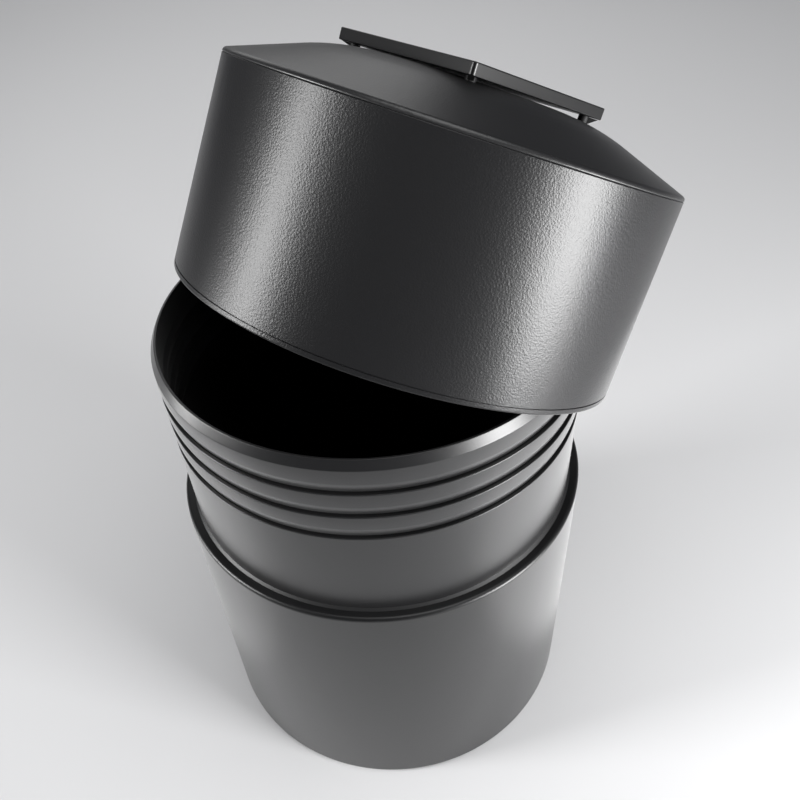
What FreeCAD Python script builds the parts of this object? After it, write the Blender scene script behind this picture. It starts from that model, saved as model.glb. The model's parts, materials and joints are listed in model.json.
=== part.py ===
import FreeCAD, Part
import Sketcher
import math
import os

# Round double-walled tub with a deep telescoping lid that sits askew on its rim.
# Origin: centre of the resting face. +Z up, -Y towards the front. Millimetres.

sizes = {
    # tub, outside
    "shellTopRadius": 100.0,
    "shellBaseRadius": 98.4,
    "shellWall": 2.6,
    "standOff": 1.0,
    "ledgeHeight": 151.5,
    "ledgeThick": 3.0,
    "ledgeHole": 94.7,
    "shellTopRound": 1.8,
    "shellBaseRound": 2.0,
    # tub, inner liner with its neck and rim
    "neckBaseRadius": 94.4,
    "neckTopRadius": 95.5,
    "rimHeight": 243.0,
    "mouthRadius": 92.4,
    "rimFlat": 1.0,
    "chamferDrop": 3.9,
    "bandPitch": 13.0,
    "firstCrevice": 226.6,
    "flankHeight": 4.5,
    "flankDepth": 1.5,
    "creviceWidth": 0.6,
    "creviceDepth": 2.1,
    "rippleDepth": 0.9,
    "rippleReach": 4.0,
    "linerLedgeRadius": 91.4,
    "linerFloorRadius": 87.5,
    "linerFloorTop": 20.0,
    "linerWall": 3.0,
    "floorRound": 8.0,
    "beadWidth": 1.2,
    "beadHeight": 1.0,
    # tub, base
    "basePlateThick": 4.0,
    "padRadius": 72.0,
    "padThick": 2.0,
    "bossCircle": 84.0,
    "bossRadius": 4.0,
    "screwRadius": 1.5,
    "screwHeadRadius": 2.8,
    "screwHeadHeight": 2.1,
    "screwDepth": 9.0,
    "foamGap": 0.3,
    # lid
    "lidBaseX": 12.31,
    "lidBaseY": 10.94,
    "lidBaseZ": 228.91,
    "lidTilt": 28.9,
    "lidTiltAzimuth": 41.5,
    "lidTurn": 78.5,
    "skirtBaseRadius": 100.9,
    "skirtTopRadius": 99.6,
    "skirtWall": 2.5,
    "skirtTop": 86.5,
    "lipHeight": 2.2,
    "lipGroove": 0.6,
    "lipGrooveDepth": 0.5,
    "lipRound": 0.8,
    "capEdge": 88.14,
    "capTop": 104.3,
    "capFlatRadius": 54.5,
    "capThick": 2.4,
    "capDomeRound": 95.0,
    "capInnerRound": 92.6,
    "capEdgeRound": 2.0,
    "seamRound": 0.45,
    "capRibRadius": 84.0,
    "capRibUnder": 87.2,
    "spigotThick": 1.0,
    "spigotDepth": 6.0,
    "plugTopRadius": 90.5,
    "plugBaseRadius": 88.7,
    "plugBottom": 49.9,
    "plugWall": 2.0,
    "plugRound": 3.0,
    "sealInner": 91.5,
    "sealOuter": 95.8,
    "sealThick": 1.4,
    # handle
    "plateHalfDiagonal": 57.9,
    "plateUnder": 105.7,
    "plateThick": 4.9,
    "platePitch": 0.82,
    "plateRoll": 0.92,
    "plateCornerRound": 1.5,
    "plateEdgeRound": 0.5,
    "postCircle": 50.0,
    "postRadius": 2.2,
    "postFoot": 99.5,
    "postGap": 0.06,
    "webReach": 56.0,
    "webFoot": 103.6,
    "webThick": 2.4,
    "capBossRadius": 5.0,
    "capBossUnder": 99.0,
    "washerRadius": 3.5,
    "washerThick": 0.8,
    "plateScrewHole": 3.2,
    "plateScrewTop": 107.9,
    "foamPocketRadius": 6.2,
    "foamPocketFloor": 93.5,
}

doc = FreeCAD.newDocument("tub")
sheet = doc.addObject("Spreadsheet::Sheet", "Sizes")
for row, (alias, number) in enumerate(sizes.items(), start=1):
    sheet.set("A%d" % row, alias)
    sheet.set("B%d" % row, str(number))
    sheet.setAlias("B%d" % row, alias)
doc.recompute()


def span(*parts):
    """A length as its value and its formula: the sum of sizes and plain numbers."""
    value, formula = 0.0, ""
    for part in parts:
        sign = -1 if str(part).startswith("-") else 1
        name = str(part).lstrip("-")
        if name in sizes:
            value += sign * sheet.get(name)
            name = "Sizes." + name
        else:
            value += sign * float(name)
        formula += (" - " if sign < 0 else " + ") + name
    return value, "0" + formula


def neckAt(*parts):
    """Radius of the tapered neck at a height."""
    height, formula = span(*parts)
    low, high = sheet.get("neckBaseRadius"), sheet.get("neckTopRadius")
    start = sheet.get("ledgeHeight")
    reach = sheet.get("rimHeight") - sheet.get("chamferDrop") - start
    value = low + (high - low) * (height - start) / reach
    text = ("Sizes.neckBaseRadius + (Sizes.neckTopRadius - Sizes.neckBaseRadius)"
            " * ((%s) - Sizes.ledgeHeight)"
            " / (Sizes.rimHeight - Sizes.chamferDrop - Sizes.ledgeHeight)" % formula)
    return value, text


def mouthAt(*parts):
    """Inside radius of the neck at a height."""
    height, formula = span(*parts)
    low, high = sheet.get("linerLedgeRadius"), sheet.get("mouthRadius")
    start, stop = sheet.get("ledgeHeight"), sheet.get("rimHeight")
    value = low + (high - low) * (height - start) / (stop - start)
    text = ("Sizes.linerLedgeRadius + (Sizes.mouthRadius - Sizes.linerLedgeRadius)"
            " * ((%s) - Sizes.ledgeHeight) / (Sizes.rimHeight - Sizes.ledgeHeight)" % formula)
    return value, text


def less(length, *parts):
    """A length with more sizes added to it."""
    value, formula = span(*parts)
    return length[0] + value, "%s + (%s)" % (length[1], formula)


def newSketch(body, name, plane, lift=None):
    sketch = body.newObject("Sketcher::SketchObject", name)
    flat = [f for f in body.Origin.OriginFeatures if f.Role == plane][0]
    sketch.AttachmentSupport = (flat, [""])
    sketch.MapMode = "FlatFace"
    if lift:
        sketch.AttachmentOffset.Base.z = lift[0]
        sketch.setExpression(".AttachmentOffset.Base.z", lift[1])
    return sketch


def bindPoint(sketch, geometry, end, corner):
    """Hold one point of the sketch at its two sizes; a zero lies on the axis."""
    for word, axis, (value, formula) in (("DistanceX", -2, corner[0]),
                                         ("DistanceY", -1, corner[1])):
        if abs(value) < 1e-9:
            sketch.addConstraint(Sketcher.Constraint("PointOnObject", geometry, end, axis))
        else:
            index = sketch.addConstraint(
                Sketcher.Constraint(word, -1, 1, geometry, end, value))
            sketch.setExpression("Constraints[%d]" % index, formula)


def drawPolygon(sketch, corners):
    places = [FreeCAD.Vector(across[0], up[0], 0) for across, up in corners]
    count = len(places)
    for i in range(count):
        sketch.addGeometry(Part.LineSegment(places[i], places[(i + 1) % count]), False)
    for i in range(count):
        sketch.addConstraint(Sketcher.Constraint("Coincident", i, 2, (i + 1) % count, 1))
        bindPoint(sketch, i, 1, corners[i])


def drawCircle(sketch, centre, radius):
    spot = FreeCAD.Vector(centre[0][0], centre[1][0], 0)
    index = sketch.addGeometry(Part.Circle(spot, FreeCAD.Vector(0, 0, 1), radius[0]), False)
    bindPoint(sketch, index, 3, centre)
    held = sketch.addConstraint(Sketcher.Constraint("Radius", index, radius[0]))
    sketch.setExpression("Constraints[%d]" % held, radius[1])


def newBody(name):
    body = doc.addObject("PartDesign::Body", name)
    body.Label = name
    return body


def turned(name, corners):
    """A body of revolution about Z from its half section of (radius, height) corners."""
    body = newBody(name)
    sketch = newSketch(body, name + "Section", "XZ_Plane")
    drawPolygon(sketch, corners)
    solid = body.newObject("PartDesign::Revolution", name + "Turned")
    solid.Profile = sketch
    solid.ReferenceAxis = (sketch, ["V_Axis"])
    solid.Angle = 360.0
    doc.recompute()
    return body


def roundEdges(body, size, spots):
    """Fillet the circular edges that lie at the given (radius, height) pairs."""
    base = body.Tip
    picked = []
    for i, edge in enumerate(base.Shape.Edges, start=1):
        if not isinstance(edge.Curve, Part.Circle):
            continue
        for across, up in spots:
            centre = edge.Curve.Center
            if (abs(edge.Curve.Radius - across[0]) < 0.02 and abs(centre.z - up[0]) < 0.02
                    and math.hypot(centre.x, centre.y) < 0.02):
                picked.append("Edge%d" % i)
    fillet = body.newObject("PartDesign::Fillet", "%sRound%d" % (body.Name, len(body.Group)))
    fillet.Base = (base, picked)
    fillet.Radius = sheet.get(size)
    fillet.setExpression("Radius", "Sizes." + size)
    doc.recompute()
    return len(picked)


def extrude(body, kind, sketch, length=None, reverse=False, middle=False, through=False):
    tool = body.newObject("PartDesign::" + kind, sketch.Name + kind)
    tool.Profile = sketch
    if through:
        tool.Type = 1
    else:
        tool.Length = length[0]
        tool.setExpression("Length", length[1])
    tool.Reversed = reverse
    tool.Midplane = middle
    sketch.Visibility = False
    doc.recompute()
    return tool


def patternRound(body, feature, count):
    """Repeat a pad or pocket evenly about Z."""
    pattern = body.newObject("PartDesign::PolarPattern", feature.Name + "Around")
    pattern.Originals = [feature]
    axis = [f for f in body.Origin.OriginFeatures if f.Role == "Z_Axis"][0]
    pattern.Axis = (axis, [""])
    pattern.Angle = 360.0
    pattern.Occurrences = count
    body.Tip = pattern
    doc.recompute()


def holesRound(body, name, circle, radius, start, depth, up=True, count=4):
    """Round pockets on a circle, cut up or down from a height."""
    before = body.Shape.Volume
    sketch = newSketch(body, name, "XY_Plane", start)
    drawCircle(sketch, (circle, span(0)), radius)
    patternRound(body, extrude(body, "Pocket", sketch, depth, reverse=up), count)
    if body.Shape.Volume >= before:
        raise RuntimeError(name + " cuts nothing")


def bossesRound(body, name, circle, radius, start, depth, count=4):
    """Round bosses on a circle, grown up from a height."""
    sketch = newSketch(body, name, "XY_Plane", start)
    drawCircle(sketch, (circle, span(0)), radius)
    patternRound(body, extrude(body, "Pad", sketch, depth), count)


def cylinder(name, radius, start, height, place=None):
    rod = doc.addObject("Part::Cylinder", name)
    rod.Radius, rod.Height = radius[0], height[0]
    rod.setExpression("Radius", radius[1])
    rod.setExpression("Height", height[1])
    rod.Placement = FreeCAD.Placement(FreeCAD.Vector(0, 0, start[0]), FreeCAD.Rotation())
    rod.setExpression(".Placement.Base.z", start[1])
    return rod


def ringOf(name, circle, makeOne, count=4):
    """The same small piece at even angles on a circle, as one group of solids."""
    pieces = []
    for i in range(count):
        piece = makeOne("%s%d" % (name, i + 1))
        turn = FreeCAD.Rotation(FreeCAD.Vector(0, 0, 1), 360.0 * i / count)
        spot = turn.multVec(FreeCAD.Vector(sheet.get(circle), 0, 0))
        piece.Placement = FreeCAD.Placement(spot, turn)
        pieces.append(piece)
    group = doc.addObject("Part::Compound", name)
    group.Links = pieces
    group.Label = name
    doc.recompute()
    return group


nodes = []

# ---------------------------------------------------------------- tub
shellUnder = span("standOff")
wallFoot = span("shellBaseRadius", "-shellWall")
shell = turned("outer_shell", [
    (wallFoot, shellUnder),
    (span("shellBaseRadius"), shellUnder),
    (span("shellTopRadius"), span("ledgeHeight")),
    (span("ledgeHole"), span("ledgeHeight")),
    (span("ledgeHole"), span("ledgeHeight", "-ledgeThick")),
    (span("shellTopRadius", "-shellWall"), span("ledgeHeight", "-ledgeThick")),
])
roundEdges(shell, "shellTopRound", [(span("shellTopRadius"), span("ledgeHeight"))])
roundEdges(shell, "shellBaseRound", [(span("shellBaseRadius"), shellUnder)])
nodes.append(shell)

# The liner is one moulding: floor, wall, grooved neck and rim. Each groove is a flank that
# leans inwards as it goes down and ends in a narrow crevice under the next band's top edge.
bands = []
for i in range(3):
    crevice = ["firstCrevice"] + ["-bandPitch"] * i
    under = crevice + ["-creviceWidth"]
    bands += [
        (neckAt(*crevice, "flankHeight"), span(*crevice, "flankHeight")),
        (less(neckAt(*crevice), "-flankDepth"), span(*crevice)),
        (less(neckAt(*crevice), "-creviceDepth"), span(*crevice)),
        (less(neckAt(*crevice), "-creviceDepth"), span(*under)),
        (neckAt(*under), span(*under)),
    ]

# Inside, the wall swells a little behind each crevice, so that it keeps its thickness.
ripples = []
for i in (2, 1, 0):
    crevice = ["firstCrevice"] + ["-bandPitch"] * i
    for inwards, shift in (([], ["-rippleReach"]), (["-rippleDepth"], []),
                           ([], ["rippleReach"])):
        height = span(*crevice, *shift)
        ripples.append((less(mouthAt(*crevice, *shift), *(inwards or [0])), height))
linerFoot = span("linerFloorTop", "-linerWall")
liner = turned("inner_liner", [
    (span("mouthRadius"), span("rimHeight")),
    (span("mouthRadius", "rimFlat"), span("rimHeight")),
    (span("neckTopRadius"), span("rimHeight", "-chamferDrop")),
    *bands,
    (span("neckBaseRadius"), span("ledgeHeight")),
    (span("neckBaseRadius"), span("ledgeHeight", "-ledgeThick")),
    (span("linerFloorRadius", "linerWall"), linerFoot),
    (span(0), linerFoot),
    (span(0), span("linerFloorTop")),
    (span("linerFloorRadius"), span("linerFloorTop")),
    (span("linerLedgeRadius"), span("ledgeHeight")),
    *ripples,
])
roundEdges(liner, "floorRound", [(span("linerFloorRadius"), span("linerFloorTop"))])
bossFoot = span("standOff", "basePlateThick")
bossTall = span("linerFloorTop", "-linerWall", "-standOff", "-basePlateThick")
bossesRound(liner, "linerBoss", span("bossCircle"), span("bossRadius"), bossFoot, bossTall)
holesRound(liner, "linerBossHole", span("bossCircle"), span("screwRadius"), bossFoot,
           span("screwDepth"))
nodes.append(liner)

# Bead that closes the joint between the neck and the ledge.
nodes.append(turned("ledge_bead", [
    (span("neckBaseRadius", 0.05), span("ledgeHeight")),
    (span("neckBaseRadius", "beadWidth"), span("ledgeHeight")),
    (span("neckBaseRadius", 0.05), span("ledgeHeight", "beadHeight")),
]))

# Insulation between the walls and under the floor.
foamFoot = span("standOff", "basePlateThick", "foamGap")
nodes.append(turned("foam_sleeve", [
    (span("linerFloorRadius", "linerWall", "foamGap"), foamFoot),
    (span("shellBaseRadius", "-shellWall", "-foamGap"), foamFoot),
    (span("shellTopRadius", "-shellWall", "-foamGap"),
     span("ledgeHeight", "-ledgeThick", "-foamGap")),
    (span("neckBaseRadius", "foamGap"), span("ledgeHeight", "-ledgeThick", "-foamGap")),
    (span("linerFloorRadius", "linerWall", "foamGap"), linerFoot),
]))
disc = turned("foam_disc", [
    (span(0), foamFoot),
    (span("linerFloorRadius", "linerWall", "-foamGap"), foamFoot),
    (span("linerFloorRadius", "linerWall", "-foamGap"), less(linerFoot, "-foamGap")),
    (span(0), less(linerFoot, "-foamGap")),
])
holesRound(disc, "foamHole", span("bossCircle"), span("bossRadius", "foamGap"), foamFoot,
           bossTall)
nodes.append(disc)

padTop = span("padThick")
plate = turned("base_plate", [
    (span(0), padTop),
    (span("padRadius"), padTop),
    (span("padRadius"), shellUnder),
    (wallFoot, shellUnder),
    (wallFoot, bossFoot),
    (span(0), bossFoot),
])
holesRound(plate, "baseHole", span("bossCircle"), span("screwRadius", 0.2), shellUnder,
           span("basePlateThick", 1))
holesRound(plate, "baseCounterbore", span("bossCircle"), span("screwHeadRadius", 0.5),
           shellUnder, span("screwHeadHeight", 0.1))
nodes.append(plate)

nodes.append(turned("base_pad", [
    (span(0), span(0)),
    (span("padRadius"), span(0)),
    (span("padRadius"), padTop),
    (span(0), padTop),
]))


def baseScrew(name):
    head = cylinder(name + "Head", span("screwHeadRadius"), span("standOff", 0.1),
                    span("screwHeadHeight"))
    shank = cylinder(name + "Shank", span("screwRadius"),
                     span("standOff", 0.1, "screwHeadHeight"),
                     span("basePlateThick", "-screwHeadHeight", -0.1, "screwDepth"))
    screw = doc.addObject("Part::Fuse", name)
    screw.Base, screw.Tool = head, shank
    return screw


nodes.append(ringOf("base_screws", "bossCircle", baseScrew))

# ---------------------------------------------------------------- lid
# Built upright about its own axis, with height 0 at the skirt's lower edge, then placed
# askew: leaning towards one azimuth and turned so that the posts lie on its X and Y axes.
lidNodes = []
skirtTop = span("skirtTop")
skirt = turned("lid_skirt", [
    (span("skirtBaseRadius", "-skirtWall"), span(0)),
    (span("skirtBaseRadius"), span(0)),
    (span("skirtBaseRadius"), span("lipHeight")),
    (span("skirtBaseRadius", "-lipGrooveDepth"), span("lipHeight", 0.1)),
    (span("skirtBaseRadius", "-lipGrooveDepth"), span("lipHeight", "lipGroove", -0.1)),
    (span("skirtBaseRadius"), span("lipHeight", "lipGroove")),
    (span("skirtTopRadius"), skirtTop),
    (span("skirtTopRadius", "-skirtWall"), skirtTop),
])
roundEdges(skirt, "lipRound", [(span("skirtBaseRadius"), span(0)),
                               (span("skirtBaseRadius", "-skirtWall"), span(0))])
roundEdges(skirt, "seamRound", [(span("skirtTopRadius"), skirtTop)])
lidNodes.append(skirt)

cap = turned("lid_cap", [
    (span(0), span("capTop")),
    (span("capFlatRadius"), span("capTop")),
    (span("skirtTopRadius"), span("capEdge")),
    (span("skirtTopRadius"), skirtTop),
    (span("skirtTopRadius", "-skirtWall"), skirtTop),
    (span("skirtTopRadius", "-skirtWall"), span("skirtTop", "-spigotDepth")),
    (span("skirtTopRadius", "-skirtWall", "-spigotThick"), span("skirtTop", "-spigotDepth")),
    (span("skirtTopRadius", "-skirtWall", "-spigotThick"), span("capRibUnder")),
    (span("capRibRadius"), span("capRibUnder")),
    (span("capRibRadius"), span("capRibUnder", 4)),
    (span("capFlatRadius", -0.4), span("capTop", "-capThick")),
    (span(0), span("capTop", "-capThick")),
])
roundEdges(cap, "capDomeRound", [(span("capFlatRadius"), span("capTop"))])
roundEdges(cap, "capInnerRound", [(span("capFlatRadius", -0.4), span("capTop", "-capThick"))])
roundEdges(cap, "capEdgeRound", [(span("skirtTopRadius"), span("capEdge"))])
roundEdges(cap, "seamRound", [(span("skirtTopRadius"), skirtTop)])
bossesRound(cap, "capBoss", span("postCircle"), span("capBossRadius"), span("capBossUnder"),
            span("capTop", "-capThick", "-capBossUnder"))
holesRound(cap, "capPostHole", span("postCircle"), span("postRadius"), span("postFoot"),
           span("capTop", "-postFoot", 1))
holesRound(cap, "capScrewHole", span("postCircle"), span("screwRadius", 0.1),
           span("capBossUnder"), span("postFoot", "-capBossUnder", 0.2))
lidNodes.append(cap)

# The plug is the lid's own liner. It hangs into the mouth when the lid is shut, and its
# underside rests on the back of the rim when the lid sits askew.
plug = turned("lid_plug", [
    (span("plugTopRadius"), span("capRibUnder")),
    (span("plugTopRadius", "-plugWall"), span("capRibUnder")),
    (span("plugBaseRadius", "-plugWall"), span("plugBottom", "plugWall")),
    (span(0), span("plugBottom", "plugWall")),
    (span(0), span("plugBottom")),
    (span("plugBaseRadius"), span("plugBottom")),
])
roundEdges(plug, "plugRound", [(span("plugBaseRadius"), span("plugBottom"))])
lidNodes.append(plug)

lidNodes.append(turned("lid_seal", [
    (span("sealInner"), span("capRibUnder", "-sealThick")),
    (span("sealOuter"), span("capRibUnder", "-sealThick")),
    (span("sealOuter"), span("capRibUnder")),
    (span("sealInner"), span("capRibUnder")),
]))

filling = turned("lid_foam", [
    (span(0), span("plugBottom", "plugWall", "foamGap")),
    (span("plugBaseRadius", "-plugWall", "-foamGap"), span("plugBottom", "plugWall", "foamGap")),
    (span("plugTopRadius", "-plugWall", "-foamGap"), span("capRibUnder", "-foamGap")),
    (span("capRibRadius", "-foamGap"), span("capRibUnder", "-foamGap")),
    (span("capRibRadius", "-foamGap"), span("capRibUnder", 4, "-foamGap")),
    (span("capFlatRadius", -0.4), span("capTop", "-capThick", "-foamGap", -1.4)),
    (span(0), span("capTop", "-capThick", "-foamGap", -1.4)),
])
holesRound(filling, "foamPocket", span("postCircle"), span("foamPocketRadius"),
           span("foamPocketFloor"), span("capTop", "-foamPocketFloor"))
lidNodes.append(filling)

# Handle: a square plate held just clear of the dome by a post and web near each corner.
# The plate isn't quite parallel to the lid: its front and left corners sit lower.
handle = newBody("handle_plate")
square = newSketch(handle, "handleSquare", "XY_Plane")
drawPolygon(square, [
    (span("plateHalfDiagonal"), span(0)),
    (span(0), span("plateHalfDiagonal")),
    (span("-plateHalfDiagonal"), span(0)),
    (span(0), span("-plateHalfDiagonal")),
])
slab = extrude(handle, "Pad", square, span("plateThick"))
upright = ["Edge%d" % i for i, edge in enumerate(slab.Shape.Edges, start=1)
           if abs(edge.tangentAt(edge.FirstParameter).z) > 0.99]
corners = handle.newObject("PartDesign::Fillet", "handleCorners")
corners.Base = (slab, upright)
corners.Radius = sheet.get("plateCornerRound")
corners.setExpression("Radius", "Sizes.plateCornerRound")
doc.recompute()
level = ["Edge%d" % i for i, edge in enumerate(corners.Shape.Edges, start=1)
         if edge.BoundBox.ZLength < 0.01]
edges = handle.newObject("PartDesign::Fillet", "handleEdges")
edges.Base = (corners, level)
edges.Radius = sheet.get("plateEdgeRound")
edges.setExpression("Radius", "Sizes.plateEdgeRound")
doc.recompute()
holesRound(handle, "handleHole", span("postCircle"), span("screwRadius", 0.1), span(0),
           span("plateScrewHole"))
lidNodes.append(handle)


def plateOver(side):
    """Underside of the tilted plate over one post, less a little room."""
    angle = "platePitch" if side in ("back", "front") else "plateRoll"
    sign = 1 if side in ("back", "right") else -1
    rise = sheet.get("postCircle") * math.tan(math.radians(sheet.get(angle)))
    value = sheet.get("plateUnder") + sign * rise - sheet.get("postGap")
    text = ("Sizes.plateUnder %s Sizes.postCircle * tan(Sizes.%s * 1 deg) - Sizes.postGap"
            % ("+" if sign > 0 else "-", angle))
    return value, text


posts = []
for word in ("back", "left", "front", "right"):
    post = newBody("handle_post_" + word)
    top = plateOver(word)
    foot = newSketch(post, "postRound_" + word, "XY_Plane", span("postFoot"))
    drawCircle(foot, (span("postCircle"), span(0)), span("postRadius"))
    extrude(post, "Pad", foot, less(top, "-postFoot"))
    web = newSketch(post, "postWeb_" + word, "XZ_Plane")
    drawPolygon(web, [
        (span("postCircle"), less(top, -0.1)),
        (span("postCircle"), span("webFoot")),
        (span("postCircle", "postRadius"), span("webFoot")),
        (span("webReach"), less(top, -0.1)),
    ])
    extrude(post, "Pad", web, span("webThick"), middle=True)
    bore = newSketch(post, "postBore_" + word, "XY_Plane", span("postFoot"))
    drawCircle(bore, (span("postCircle"), span(0)), span("screwRadius"))
    extrude(post, "Pocket", bore, less(top, "-postFoot"), reverse=True)
    posts.append(post)


def handleScrew(name):
    under = ["capBossUnder", "-washerThick"]
    head = cylinder(name + "Head", span("screwHeadRadius"),
                    span(*under, "-screwHeadHeight"), span("screwHeadHeight"))
    shank = cylinder(name + "Shank", span("screwRadius"), span(*under),
                     span("plateScrewTop", "-capBossUnder", "washerThick"))
    screw = doc.addObject("Part::Fuse", name)
    screw.Base, screw.Tool = head, shank
    return screw


def handleWasher(name):
    under = span("capBossUnder", "-washerThick")
    disc = cylinder(name + "Disc", span("washerRadius"), under, span("washerThick"))
    hole = cylinder(name + "Hole", span("screwRadius", 0.1), under, span("washerThick"))
    washer = doc.addObject("Part::Cut", name)
    washer.Base, washer.Tool = disc, hole
    return washer


lidNodes.append(ringOf("handle_screws", "postCircle", handleScrew))
lidNodes.append(ringOf("handle_washers", "postCircle", handleWasher))

azimuth = math.radians(sheet.get("lidTiltAzimuth"))
lean = FreeCAD.Rotation(FreeCAD.Vector(-math.sin(azimuth), math.cos(azimuth), 0),
                        sheet.get("lidTilt"))
upAxis = FreeCAD.Vector(0, 0, 1)
quarter = 0
for piece in lidNodes + posts:
    turn = sheet.get("lidTurn")
    if piece in posts:
        turn += 90.0 * quarter
        quarter += 1
    spot = FreeCAD.Vector(*[sheet.get(cell) for cell in ("lidBaseX", "lidBaseY", "lidBaseZ")])
    piece.Placement = FreeCAD.Placement(spot, lean * FreeCAD.Rotation(upAxis, turn))
    if piece is handle:
        slopes = [math.tan(math.radians(sheet.get(cell))) for cell in ("platePitch", "plateRoll")]
        tipped = FreeCAD.Rotation(upAxis, FreeCAD.Vector(-slopes[0], slopes[1], 1))
        lifted = FreeCAD.Vector(0, 0, sheet.get("plateUnder"))
        piece.Placement = piece.Placement * FreeCAD.Placement(lifted, tipped)
        continue
    for letter, cell in (("x", "lidBaseX"), ("y", "lidBaseY"), ("z", "lidBaseZ")):
        piece.setExpression(".Placement.Base." + letter, "Sizes." + cell)
nodes += lidNodes + posts

doc.recompute()
for thing in doc.Objects:
    if "Invalid" in thing.State or "Error" in thing.State:
        raise RuntimeError(thing.Name + " failed: " + str(thing.State))
os.makedirs("parts", exist_ok=True)
for node in nodes:
    if node.Shape.isNull() or not node.Shape.isValid():
        raise RuntimeError(node.Label + " has a bad shape")
    node.Shape.exportStep("parts/%s.step" % node.Label)
    print(node.Label, len(node.Shape.Solids), round(node.Shape.Volume))
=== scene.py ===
import bmesh
import bpy
import json
import math
from mathutils import Euler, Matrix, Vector


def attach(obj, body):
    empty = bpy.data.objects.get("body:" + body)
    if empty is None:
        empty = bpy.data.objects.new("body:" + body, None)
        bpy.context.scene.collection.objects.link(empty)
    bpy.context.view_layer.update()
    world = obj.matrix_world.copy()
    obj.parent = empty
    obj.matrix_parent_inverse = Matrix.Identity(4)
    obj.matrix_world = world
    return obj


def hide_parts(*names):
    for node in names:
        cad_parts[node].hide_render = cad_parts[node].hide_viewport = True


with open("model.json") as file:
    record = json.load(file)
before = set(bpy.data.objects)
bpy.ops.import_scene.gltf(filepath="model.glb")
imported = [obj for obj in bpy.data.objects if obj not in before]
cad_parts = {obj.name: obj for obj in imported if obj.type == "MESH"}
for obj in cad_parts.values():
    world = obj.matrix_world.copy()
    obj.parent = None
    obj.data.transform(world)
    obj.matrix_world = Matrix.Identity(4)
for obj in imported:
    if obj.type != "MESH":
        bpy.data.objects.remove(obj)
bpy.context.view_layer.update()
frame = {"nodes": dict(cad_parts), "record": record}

mm = 0.001


# An sRGB hex value as the linear colour that a socket takes.
def hexColor(code):
    shares = [int(code[i:i + 2], 16) / 255 for i in (1, 3, 5)]
    return tuple(v / 12.92 if v <= 0.04045 else ((v + 0.055) / 1.055) ** 2.4
                 for v in shares) + (1.0,)


def addNode(tree, kind, settings=None, inputs=None, links=None):
    node = tree.nodes.new(kind)
    for name, value in (settings or {}).items():
        setattr(node, name, value)
    for name, value in (inputs or {}).items():
        node.inputs[name].default_value = value
    for name, source in (links or {}).items():
        tree.links.new(source, node.inputs[name])
    return node


def newMaterial(name):
    material = bpy.data.materials.new(name)
    material.use_nodes = True
    material.node_tree.nodes.clear()
    return material, material.node_tree


grain = {"softShare": 0.9, "softDetail": 2.0, "softRoughness": 0.5, "skinIor": 1.4,
         "hazeRoughness": 0.35}


# Moulded plastic with a leathery grain in its surface, from cells and a soft noise together.
# "skin" is a clear outer layer, "haze" the faint bloom that fine texture shows at a low angle.
def grainedPlastic(name, look):
    material, tree = newMaterial(name)
    place = addNode(tree, "ShaderNodeTexCoord").outputs["Object"]
    cells = addNode(tree, "ShaderNodeTexVoronoi", {"feature": "F1"},
                    {"Scale": 1 / (look["grainSize"] * mm)}, {"Vector": place})
    soft = addNode(tree, "ShaderNodeTexNoise", None,
                   {"Scale": grain["softShare"] / (look["grainSize"] * mm),
                    "Detail": grain["softDetail"], "Roughness": grain["softRoughness"]},
                   {"Vector": place})
    both = addNode(tree, "ShaderNodeMath", {"operation": "MULTIPLY_ADD"},
                   {1: look["cellShare"]}, {0: cells.outputs["Distance"], 2: soft.outputs["Fac"]})
    bump = addNode(tree, "ShaderNodeBump", None,
                   {"Strength": look["bump"], "Distance": look["grainDepth"] * mm},
                   {"Height": both.outputs[0]})
    shader = addNode(tree, "ShaderNodeBsdfPrincipled", None,
                     {"Base Color": hexColor(look["colour"]), "Roughness": look["roughness"],
                      "IOR": look["ior"], "Coat Weight": look.get("skin", 0.0),
                      "Coat Roughness": look["roughness"], "Coat IOR": grain["skinIor"],
                      "Sheen Weight": look.get("haze", 0.0),
                      "Sheen Roughness": grain["hazeRoughness"]},
                     {"Normal": bump.outputs["Normal"], "Coat Normal": bump.outputs["Normal"]})
    addNode(tree, "ShaderNodeOutputMaterial", links={"Surface": shader.outputs[0]})
    return material


# Any even finish, of plastic, rubber, foam or metal.
def plainFinish(name, look):
    material, tree = newMaterial(name)
    shader = addNode(tree, "ShaderNodeBsdfPrincipled", None,
                     {"Base Color": hexColor(look["colour"]), "Roughness": look["roughness"],
                      "IOR": look.get("ior", 1.5), "Metallic": look.get("metallic", 0.0)})
    addNode(tree, "ShaderNodeOutputMaterial", links={"Surface": shader.outputs[0]})
    return material


# Polypropylene moulded against a spark-eroded mould: a fine leather grain that breaks up the
# light at its edges. grainSize is the width of a grain and grainDepth its relief, in mm.
skirtLook = {"colour": "#1c1c1d", "roughness": 0.31, "ior": 1.4,
             "grainSize": 0.75, "grainDepth": 0.055, "cellShare": 1.0, "bump": 0.75}

# The same from a finer mould: satin, dark from the front and bright along its sides.
shellLook = {"colour": "#101011", "roughness": 0.36, "ior": 1.2, "skin": 1.0, "haze": 0.05,
             "grainSize": 0.9, "grainDepth": 0.03, "cellShare": 0.4, "bump": 0.4}

# The lid's top: a little glossier, with broad dim reflections.
capLook = {"colour": "#19191a", "roughness": 0.36, "ior": 1.6,
           "grainSize": 0.75, "grainDepth": 0.03, "cellShare": 1.0, "bump": 0.7}

# The neck and the inside: smooth, so that the band edges draw thin light lines.
neckLook = {"colour": "#171718", "roughness": 0.34, "ior": 1.25, "skin": 1.0, "haze": 0.06,
            "grainSize": 0.9, "grainDepth": 0.02, "cellShare": 0.4, "bump": 0.3}

# Zinc-plated steel, bright and slightly soft.
steel = plainFinish("zincPlatedSteel", {"colour": "#b5b7ba", "roughness": 0.3, "metallic": 1.0})

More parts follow.
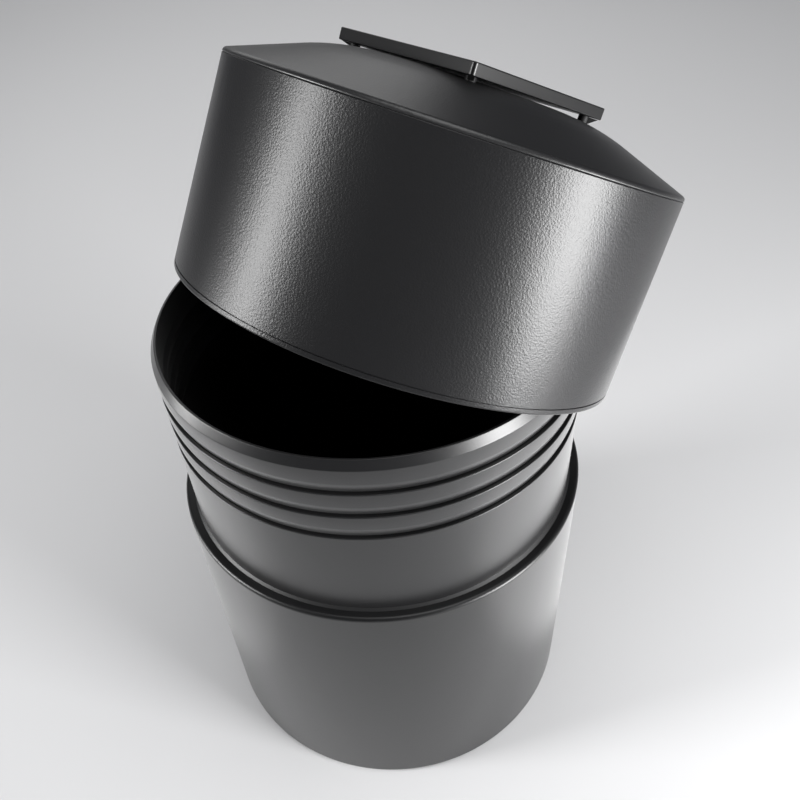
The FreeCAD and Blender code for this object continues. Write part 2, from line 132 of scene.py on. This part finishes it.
materials = {
    "skirt": grainedPlastic("grainedPolypropylene", skirtLook),
    "shell": grainedPlastic("satinPolypropylene", shellLook),
    "cap": grainedPlastic("semiGlossPolypropylene", capLook),
    "liner": grainedPlastic("smoothPolypropylene", neckLook),
    # smooth mould: black, with a soft glare on the face that meets the light
    "handle": plainFinish("glossyAbs", {"colour": "#070708", "roughness": 0.33, "ior": 1.5}),
    # the posts stay dull in the handle's shade
    "post": plainFinish("mouldedAbs", {"colour": "#0c0c0d", "roughness": 0.6, "ior": 1.4}),
    "plug": plainFinish("linerAbs", {"colour": "#131314", "roughness": 0.3}),  # glossy
    "seal": plainFinish("siliconeRubber", {"colour": "#0c0c0c", "roughness": 0.55}),  # soft sheen
    "bead": plainFinish("sealant", {"colour": "#161617", "roughness": 0.45}),  # wet-looking fillet
    "pad": plainFinish("footRubber", {"colour": "#141414", "roughness": 0.8}),  # dull
    "base": plainFinish("basePolypropylene", {"colour": "#1a1a1b", "roughness": 0.6}),  # matt
    "foam": plainFinish("polyurethaneFoam", {"colour": "#d8cfae", "roughness": 0.95}),  # chalky
    "screws": steel,
    "washers": steel,
}
slotOf = {part["node"]: part["material_slot"] for part in frame["record"]["subparts"]}
for name, node in frame["nodes"].items():
    node.data.materials.clear()
    node.data.materials.append(materials[slotOf[name]])
print("materials on", len(frame["nodes"]), "nodes")


def newTree(name, inputs):
    tree = bpy.data.node_groups.new(name, "GeometryNodeTree")
    for label, kind in inputs.items():
        tree.interface.new_socket(label, in_out="INPUT", socket_type="NodeSocket" + kind)
    tree.interface.new_socket("Geometry", in_out="OUTPUT", socket_type="NodeSocketGeometry")
    return tree, addNode(tree, "NodeGroupInput").outputs


def endTree(tree, geometry, finish):
    real = addNode(tree, "GeometryNodeRealizeInstances", links={"Geometry": geometry})
    painted = addNode(tree, "GeometryNodeSetMaterial",
                      links={"Geometry": real.outputs[0], "Material": finish})
    addNode(tree, "NodeGroupOutput", links={"Geometry": painted.outputs[0]})
    return tree


# A turned piece: its outline is swept round the vertical axis, and only sharp folds are
# shaded as edges.
def turnedTree():
    tree, given = newTree("turnedPiece", {
        "Geometry": "Geometry", "segments": "Int", "pivotRadius": "Float",
        "creaseAngle": "Float", "mergeDistance": "Float", "finish": "Material"})
    outline = addNode(tree, "GeometryNodeMeshToCurve", links={"Mesh": given["Geometry"]})
    path = addNode(tree, "GeometryNodeCurvePrimitiveCircle", {"mode": "RADIUS"}, None,
                   {"Resolution": given["segments"], "Radius": given["pivotRadius"]})
    swept = addNode(tree, "GeometryNodeCurveToMesh", None, None,
                    {"Curve": path.outputs[0], "Profile Curve": outline.outputs[0]})
    merged = addNode(tree, "GeometryNodeMergeByDistance", None, None,
                     {"Geometry": swept.outputs[0], "Distance": given["mergeDistance"]})
    smooth = addNode(tree, "GeometryNodeSetShadeSmooth", {"domain": "FACE"}, None,
                     {"Geometry": merged.outputs[0]})
    angle = addNode(tree, "GeometryNodeInputMeshEdgeAngle")
    sharp = addNode(tree, "FunctionNodeCompare", {"data_type": "FLOAT"}, None,
                    {"A": angle.outputs["Unsigned Angle"], "B": given["creaseAngle"]})
    creased = addNode(tree, "GeometryNodeSetShadeSmooth", {"domain": "EDGE"},
                      {"Shade Smooth": False},
                      {"Geometry": smooth.outputs[0], "Selection": sharp.outputs[0]})
    return endTree(tree, creased.outputs[0], given["finish"])


# Runs a tree on a throwaway object and keeps the result as a plain mesh, faces outwards.
def runTree(name, tree, values, source=None):
    source = source or bpy.data.meshes.new(name + "Start")
    worker = bpy.data.objects.new(name + "Worker", source)
    bpy.context.scene.collection.objects.link(worker)
    modifier = worker.modifiers.new("nodes", "NODES")
    modifier.node_group = tree
    for item in tree.interface.items_tree:
        if item.in_out == "INPUT" and item.name in values:
            modifier[item.identifier] = values[item.name]
    ready = worker.evaluated_get(bpy.context.evaluated_depsgraph_get())
    mesh = bpy.data.meshes.new_from_object(ready)
    mesh.name = name
    bpy.data.objects.remove(worker)
    faces = bmesh.new()
    faces.from_mesh(mesh)
    bmesh.ops.recalc_face_normals(faces, faces=faces.faces)
    faces.to_mesh(mesh)
    faces.free()
    piece = bpy.data.objects.new(name, mesh)
    bpy.context.scene.collection.objects.link(piece)
    print(name, len(mesh.polygons), "faces")
    return piece


# Corners are (radius, height, round) in mm; each is rounded, with a point just off the round
# so that the straight walls stay evenly lit.
def roundedOutline(corners, closed, steps=5, guard=0.5):
    points = []
    last = len(corners) - 1
    for i, corner in enumerate(corners):
        here = Vector(corner[:2])
        size = corner[2] if len(corner) > 2 else 0.0
        if not size or (not closed and i in (0, last)):
            points.append(here)
            continue
        before = Vector(corners[i - 1][:2]) - here
        after = Vector(corners[(i + 1) % len(corners)][:2]) - here
        back, ahead = before.normalized(), after.normalized()
        half = before.angle(after) / 2
        reach = size / math.tan(half)
        middle = here + (back + ahead).normalized() * (size / math.sin(half))
        start, stop = here + back * reach, here + ahead * reach
        if before.length > reach + 2 * guard:
            points.append(start + back * guard)
        for k in range(steps + 1):
            part = k / steps
            points.append(middle + (start.lerp(stop, part) - middle).normalized() * size)
        if after.length > reach + 2 * guard:
            points.append(stop + ahead * guard)
    return points


def turnedPiece(name, corners, finish, closed=True):
    outline = [(p[0] * mm - turning["pivotRadius"], -p[1] * mm, 0.0)
               for p in roundedOutline(corners, closed)]
    count = len(outline)
    edges = [(i, i + 1) for i in range(count - 1)] + ([(count - 1, 0)] if closed else [])
    source = bpy.data.meshes.new(name + "Outline")
    source.from_pydata(outline, edges, [])
    return runTree(name, turning["tree"], {
        "segments": turning["segments"], "pivotRadius": turning["pivotRadius"],
        "creaseAngle": math.radians(turning["crease"]),
        "mergeDistance": turning["merge"] * mm, "finish": finish}, source)


# The pivot is a circle in metres that the outline rides on; the merge closes the poles, in mm.
turning = {"tree": turnedTree(), "segments": 288, "pivotRadius": 0.05, "crease": 50,
           "merge": 0.01}

# In mm. The shell's top and the neck's foot meet at the ledge.
ledge = {"height": 151.5, "thick": 3.0, "hole": 94.7}
shellSize = {"top": 100.0, "foot": 98.4, "wall": 2.6, "standOff": 1.0,
             "footRound": 2.0, "topRound": 1.7, "holeRound": 0.2}
linerSize = {
    "rimHeight": 243.0, "mouth": 92.4, "rimFlat": 1.0, "rimRound": 0.25,
    "chamferDrop": 3.9, "chamferRound": 0.8,
    "neckTop": 95.5, "neckFoot": 94.4, "seatRound": 0.5,
    "firstCrevice": 226.6, "bandPitch": 13.0, "bands": 3, "bandRound": 0.4,
    "creviceDepth": 2.1, "creviceWidth": 0.6,
    "flankHeight": 5.6, "flankDepth": 1.6, "flankCurve": 1.25, "flankSteps": 8,
    "ledgeInside": 91.4, "innerBend": 20.0, "rippleDepth": 0.9, "rippleReach": 4.0,
    "rippleRound": 3.0,
    "floorInside": 87.5, "floorTop": 20.0, "floorRound": 8.0, "wall": 3.0, "footRound": 2.0,
}


def between(height, low, high, lowRadius, highRadius):
    return lowRadius + (highRadius - lowRadius) * (height - low) / (high - low)


def neckRadius(height):
    size = linerSize
    return between(height, ledge["height"], size["rimHeight"] - size["chamferDrop"],
                   size["neckFoot"], size["neckTop"])


def mouthRadius(height):
    size = linerSize
    return between(height, ledge["height"], size["rimHeight"], size["ledgeInside"], size["mouth"])


# Floor, wall, ripples, rim, chamfer, then each band: a curved flank into a narrow crevice.
def linerCorners():
    size = linerSize
    crevices = [size["firstCrevice"] - size["bandPitch"] * i for i in range(size["bands"])]
    corners = [(0.0, size["floorTop"]),
               (size["floorInside"], size["floorTop"], size["floorRound"]),
               (size["ledgeInside"], ledge["height"], size["innerBend"])]
    for crevice in reversed(crevices):
        for shift, inward in ((-size["rippleReach"], 0.0), (0.0, size["rippleDepth"]),
                              (size["rippleReach"], 0.0)):
            height = crevice + shift
            corners.append((mouthRadius(height) - inward, height, size["rippleRound"]))
    corners += [(size["mouth"], size["rimHeight"], size["rimRound"]),
                (size["mouth"] + size["rimFlat"], size["rimHeight"], size["rimRound"]),
                (size["neckTop"], size["rimHeight"] - size["chamferDrop"], size["chamferRound"])]
    for crevice in crevices:
        under = crevice - size["creviceWidth"]
        for k in range(size["flankSteps"] + 1):
            part = k / size["flankSteps"]
            height = crevice + size["flankHeight"] * (1 - part)
            inward = size["flankDepth"] * part ** size["flankCurve"]
            corners.append((neckRadius(height) - inward, height))
        deep = neckRadius(crevice) - size["creviceDepth"]
        corners += [(deep, crevice), (deep, under),
                    (neckRadius(under), under, size["bandRound"])]
    foot = size["floorTop"] - size["wall"]
    return corners + [
        (size["neckFoot"], ledge["height"] - ledge["thick"], size["seatRound"]),
        (size["floorInside"] + size["wall"], foot, size["footRound"]), (0.0, foot)]


liner = turnedPiece("linerTurned", linerCorners(), materials["liner"], closed=False)
shell = turnedPiece("shellTurned", [
    (shellSize["foot"] - shellSize["wall"], shellSize["standOff"]),
    (shellSize["foot"], shellSize["standOff"], shellSize["footRound"]),
    (shellSize["top"], ledge["height"], shellSize["topRound"]),
    (ledge["hole"], ledge["height"], shellSize["holeRound"]),
    (ledge["hole"], ledge["height"] - ledge["thick"]),
    (shellSize["top"] - shellSize["wall"], ledge["height"] - ledge["thick"]),
], materials["shell"])


def takePlace(piece, node):
    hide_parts(node)
    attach(piece, "tub")


takePlace(liner, "inner_liner")
takePlace(shell, "outer_shell")
print("tub turned")


# Screws with a hexagon socket in the head, set round the base.
def screwTree():
    tree, given = newTree("screwRing", {
        "count": "Int", "circleRadius": "Float",
        "headRadius": "Float", "headDepth": "Float", "headCentre": "Float",
        "shankRadius": "Float", "shankDepth": "Float", "shankCentre": "Float",
        "socketRadius": "Float", "socketDepth": "Float", "socketCentre": "Float",
        "finish": "Material"})
    raised = {}
    for part, sides in baseScrew["sides"].items():
        shape = addNode(tree, "GeometryNodeMeshCylinder", None, {"Vertices": sides},
                        {"Radius": given[part + "Radius"], "Depth": given[part + "Depth"]})
        lift = addNode(tree, "ShaderNodeCombineXYZ", links={"Z": given[part + "Centre"]})
        raised[part] = addNode(tree, "GeometryNodeTransform", None, None,
                               {"Geometry": shape.outputs["Mesh"],
                                "Translation": lift.outputs[0]}).outputs[0]
    joined = addNode(tree, "GeometryNodeMeshBoolean", {"operation": "UNION", "solver": "EXACT"})
    for part in ("head", "shank"):
        tree.links.new(raised[part], joined.inputs["Mesh 2"])
    cut = addNode(tree, "GeometryNodeMeshBoolean", {"operation": "DIFFERENCE", "solver": "EXACT"},
                  None, {"Mesh 1": joined.outputs["Mesh"], "Mesh 2": raised["socket"]})
    circle = addNode(tree, "GeometryNodeMeshCircle", None, None,
                     {"Vertices": given["count"], "Radius": given["circleRadius"]})
    ring = addNode(tree, "GeometryNodeInstanceOnPoints", None, None,
                   {"Points": circle.outputs["Mesh"], "Instance": cut.outputs["Mesh"]})
    return endTree(tree, ring.outputs[0], given["finish"])


baseScrew = {
    "count": 4,
    "sides": {"head": 40, "shank": 24, "socket": 6},
    "sizes": {"circleRadius": 84.0, "headRadius": 2.8, "headDepth": 2.1, "headCentre": 2.15,
              "shankRadius": 1.5, "shankDepth": 12.0, "shankCentre": 8.0,
              "socketRadius": 1.45, "socketDepth": 2.4, "socketCentre": 1.1},  # in mm
}
screws = runTree("baseScrewRing", screwTree(), {
    "count": baseScrew["count"], "finish": materials["screws"],
    **{label: size * mm for label, size in baseScrew["sizes"].items()}})
takePlace(screws, "base_screws")
print("base screws set")

# near and far are the floor's painted shade and painted light, not two tones of the paper
floorLook = {"size": 4.6, "near": "#d4d4d5", "far": "#ededee", "farFrom": 1.2,
             "roughness": 0.6}


# A paper sweep, matt. Its colour goes from darker near the object to paler at the back: painted
# light and shade standing in for how the light falls on the floor.
def paperMaterial(name, look):
    material, tree = newMaterial(name)
    place = addNode(tree, "ShaderNodeTexCoord").outputs["Object"]
    axes = addNode(tree, "ShaderNodeSeparateXYZ", links={"Vector": place})
    slope = addNode(tree, "ShaderNodeMapRange", {"interpolation_type": "SMOOTHSTEP"},
                    {"From Min": 0.0, "From Max": look["farFrom"]},
                    {"Value": axes.outputs["Y"]})
    # this mix paints the floor's light falloff into its colour
    paintedFalloff = addNode(tree, "ShaderNodeMix", {"data_type": "RGBA"}, None,
                     {0: slope.outputs["Result"]})
    # a Mix node repeats its socket names: 6 and 7 take the colours, output 2 gives the mix
    paintedFalloff.inputs[6].default_value = hexColor(look["near"])
    paintedFalloff.inputs[7].default_value = hexColor(look["far"])
    shader = addNode(tree, "ShaderNodeBsdfPrincipled", None, {"Roughness": look["roughness"]},
                     {"Base Color": paintedFalloff.outputs[2]})
    addNode(tree, "ShaderNodeOutputMaterial", links={"Surface": shader.outputs[0]})
    return material


bpy.ops.mesh.primitive_plane_add(size=floorLook["size"])
floor = bpy.context.object
floor.name = "floor"
floor.data.materials.append(paperMaterial("paperSweepPaintedLight", floorLook))
print("floor laid")

# Metres and watts. The two boxes draw the light bands on the lid.
lights = {
    "rightBox": {"place": (0.69, -0.52, 0.23), "aim": (0.03, 0.0, 0.24), "size": (0.34, 0.50),
                 "power": 16.5},
    "leftBox": {"place": (-1.41, -0.22, 0.98), "aim": (0.03, 0.0, 1.8), "size": (0.38, 1.5),
                "power": 38.0},  # turned up, so that it lights the lid and spares the floor
    "leftEdge": {"place": (-1.3, 0.10, 0.14), "aim": (-0.07, -0.06, 0.24), "size": (0.3, 0.24),
                 "power": 3.0},
    "rightCard": {"place": (0.216, 0.07, 0.004), "aim": (0.216, 0.07, 1.0), "size": (0.2, 0.44),
                  "power": 0.27},  # the cards lie on the sweep and brighten the tub's sides
    "leftCard": {"place": (-0.22, 0.06, 0.004), "aim": (-0.22, 0.06, 1.0), "size": (0.2, 0.3),
                 "power": 0.08},
    "overhead": {"place": (0.4, -0.2, 2.2), "aim": (0.1, 0.2, 0.0), "size": (1.4, 1.4),
                 "power": 17.0},
    "backPanel": {"place": (-0.3, 2.2, 1.25), "aim": (0.0, 0.0, 0.3), "size": (2.0, 1.2),
                  "power": 9.0},
}
for name, look in lights.items():
    data = bpy.data.lights.new(name, "AREA")
    data.shape = "RECTANGLE"
    data.size, data.size_y = look["size"]
    data.energy = look["power"]
    lamp = bpy.data.objects.new(name, data)
    lamp.location = look["place"]
    aim = Vector(look["aim"]) - Vector(look["place"])
    lamp.rotation_euler = aim.to_track_quat("-Z", "Y").to_euler()
    lamp.visible_camera = False
    bpy.context.scene.collection.objects.link(lamp)
print(len(lights), "lights")

worldLook = {"shown": "#d4d5d8", "dim": "#444548"}  # seen directly, and as light from the room
world = bpy.data.worlds.new("studio")
world.use_nodes = True
sky = world.node_tree
shown = sky.nodes["Background"]
shown.inputs["Color"].default_value = hexColor(worldLook["shown"])
dim = addNode(sky, "ShaderNodeBackground", None, {"Color": hexColor(worldLook["dim"])})
path = addNode(sky, "ShaderNodeLightPath")
mixed = addNode(sky, "ShaderNodeMixShader", None, None,
                {0: path.outputs["Is Camera Ray"], 1: dim.outputs[0], 2: shown.outputs[0]})
sky.links.new(mixed.outputs[0], sky.nodes["World Output"].inputs["Surface"])
bpy.context.scene.world = world

bpy.context.scene.view_settings.view_transform = "Standard"
viewpoint = {"place": (0.0, -292.18, 449.22), "turn": (47.94, 2.65, -4.58), "lens": 36.30,
             "sensor": 36.0, "clipStart": 10.0}  # in mm and degrees
cameraData = bpy.data.cameras.new("camera")
cameraData.lens = viewpoint["lens"]
cameraData.sensor_width = viewpoint["sensor"]
cameraData.clip_start = viewpoint["clipStart"] * mm
camera = bpy.data.objects.new("camera", cameraData)
camera.location = Vector(viewpoint["place"]) * mm
camera.rotation_euler = Euler([math.radians(a) for a in viewpoint["turn"]])
bpy.context.scene.collection.objects.link(camera)
bpy.context.scene.camera = camera
print("camera set")

bpy.context.view_layer.update()
